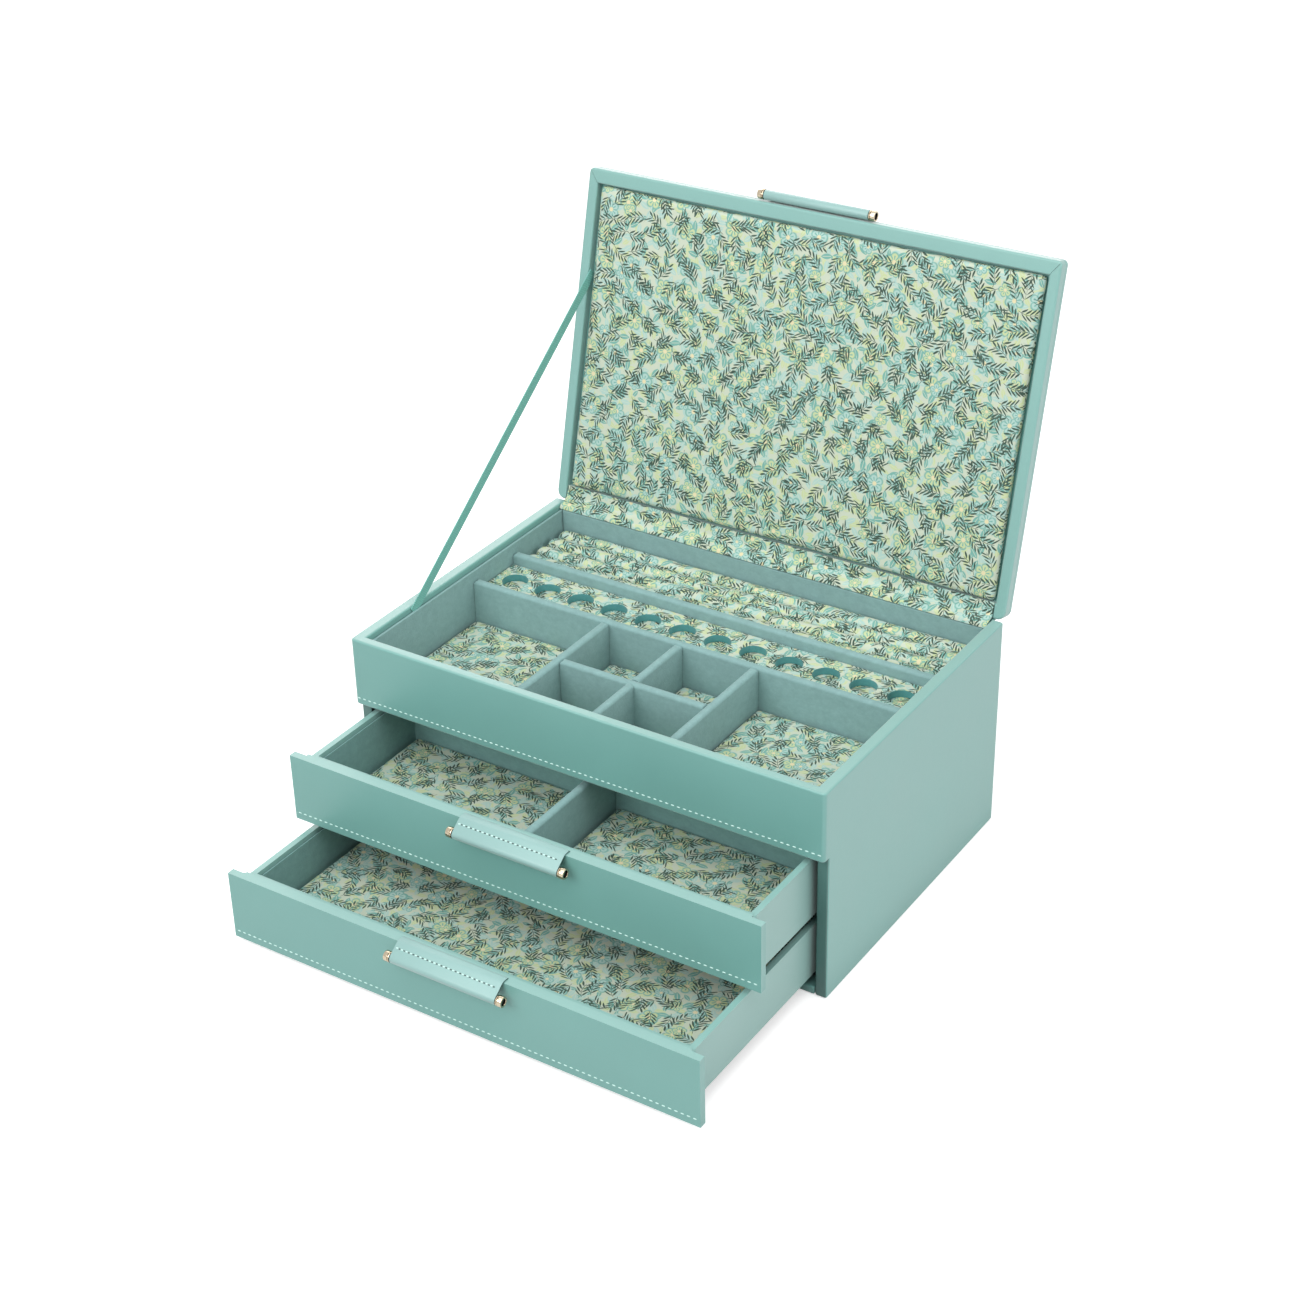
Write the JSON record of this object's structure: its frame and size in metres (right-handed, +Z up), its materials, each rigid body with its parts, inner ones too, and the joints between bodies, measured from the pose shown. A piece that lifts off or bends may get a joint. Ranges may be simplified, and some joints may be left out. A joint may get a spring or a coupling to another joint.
{
  "type": "tiered jewelry box",
  "caption": "Leather-wrapped jewelry box: a hinged lid over a partitioned tray with ring rolls and stud holes, above sliding drawers.",
  "frame": {"origin": "centre of the case's underside, on the surface that it stands on", "axes": "+X to the right along the width, +Y to the back, where the lid is hinged, +Z up"},
  "size_m": [0.303, 0.3875, 0.3352],
  "materials": {
    "leather_wrapped_board": "board wrapped in smooth blue-green leather",
    "leather": "smooth blue-green leather",
    "suede": "board covered in matt blue-green suede",
    "printed_cloth": "cotton with a small leafy print, over padding",
    "ribbon": "twill ribbon",
    "dark_lined_board": "board with dark lining",
    "champagne_metal": "polished, champagne gold plated"
  },
  "bodies": {
    "case": {"side_panel_left": "leather_wrapped_board", "side_panel_right": "leather_wrapped_board", "back_panel": "leather_wrapped_board", "base_panel": "leather_wrapped_board", "drawer_bed": "dark_lined_board", "drawer_shelf": "dark_lined_board", "tray_front_panel": "leather_wrapped_board", "tray_floor": "leather_wrapped_board", "tray_liner_left": "suede", "tray_liner_right": "suede", "tray_liner_front": "suede", "tray_liner_back": "suede", "divider_rings": "suede", "divider_studs": "suede", "divider_left": "suede", "divider_middle": "suede", "divider_right": "suede", "divider_cross": "suede", "cell_pad_left": "printed_cloth", "cell_pad_right": "printed_cloth", "small_cell_pad_front_left": "printed_cloth", "small_cell_pad_front_right": "printed_cloth", "small_cell_pad_back_left": "printed_cloth", "small_cell_pad_back_right": "printed_cloth", "ring_roll_1": "printed_cloth", "ring_roll_2": "printed_cloth", "ring_roll_3": "printed_cloth", "ring_roll_4": "printed_cloth", "stud_block": "printed_cloth", "stud_panel": "printed_cloth", "hinge_lining": "printed_cloth", "hinge_spine": "leather", "lid_ribbon": "ribbon"},
    "lid": {"lid_board": "leather_wrapped_board", "lid_frame": "leather_wrapped_board", "lid_pad": "printed_cloth", "lid_handle_tab": "leather", "lid_handle_rod": "champagne_metal", "lid_handle_cap_left": "champagne_metal", "lid_handle_cap_right": "champagne_metal"},
    "upper_drawer": {"upper_drawer_front": "leather_wrapped_board", "upper_drawer_box": "leather_wrapped_board", "upper_drawer_liner": "suede", "upper_drawer_divider": "suede", "upper_drawer_pad_left": "printed_cloth", "upper_drawer_pad_right": "printed_cloth", "upper_drawer_handle_tab": "leather", "upper_drawer_handle_rod": "champagne_metal", "upper_drawer_handle_cap_left": "champagne_metal", "upper_drawer_handle_cap_right": "champagne_metal"},
    "lower_drawer": {"lower_drawer_front": "leather_wrapped_board", "lower_drawer_box": "leather_wrapped_board", "lower_drawer_liner": "suede", "lower_drawer_pad": "printed_cloth", "lower_drawer_handle_tab": "leather", "lower_drawer_handle_rod": "champagne_metal", "lower_drawer_handle_cap_left": "champagne_metal", "lower_drawer_handle_cap_right": "champagne_metal"}
  },
  "joints": [
    {"name": "lid_hinge", "type": "hinge", "parent": "case", "child": "lid", "pos_m": [0, 0.101, 0.13215], "axis": [1, 0, 0], "range_deg": [0, 103.67], "deforming": ["hinge_lining", "hinge_spine", "lid_ribbon"]},
    {"name": "upper_drawer_slide", "type": "slide", "parent": "case", "child": "upper_drawer", "axis": [0, -1, 0], "range_m": [-0.0601, 0.0149]},
    {"name": "lower_drawer_slide", "type": "slide", "parent": "case", "child": "lower_drawer", "axis": [0, -1, 0], "range_m": [-0.11806, 0.02194]}
  ]
}
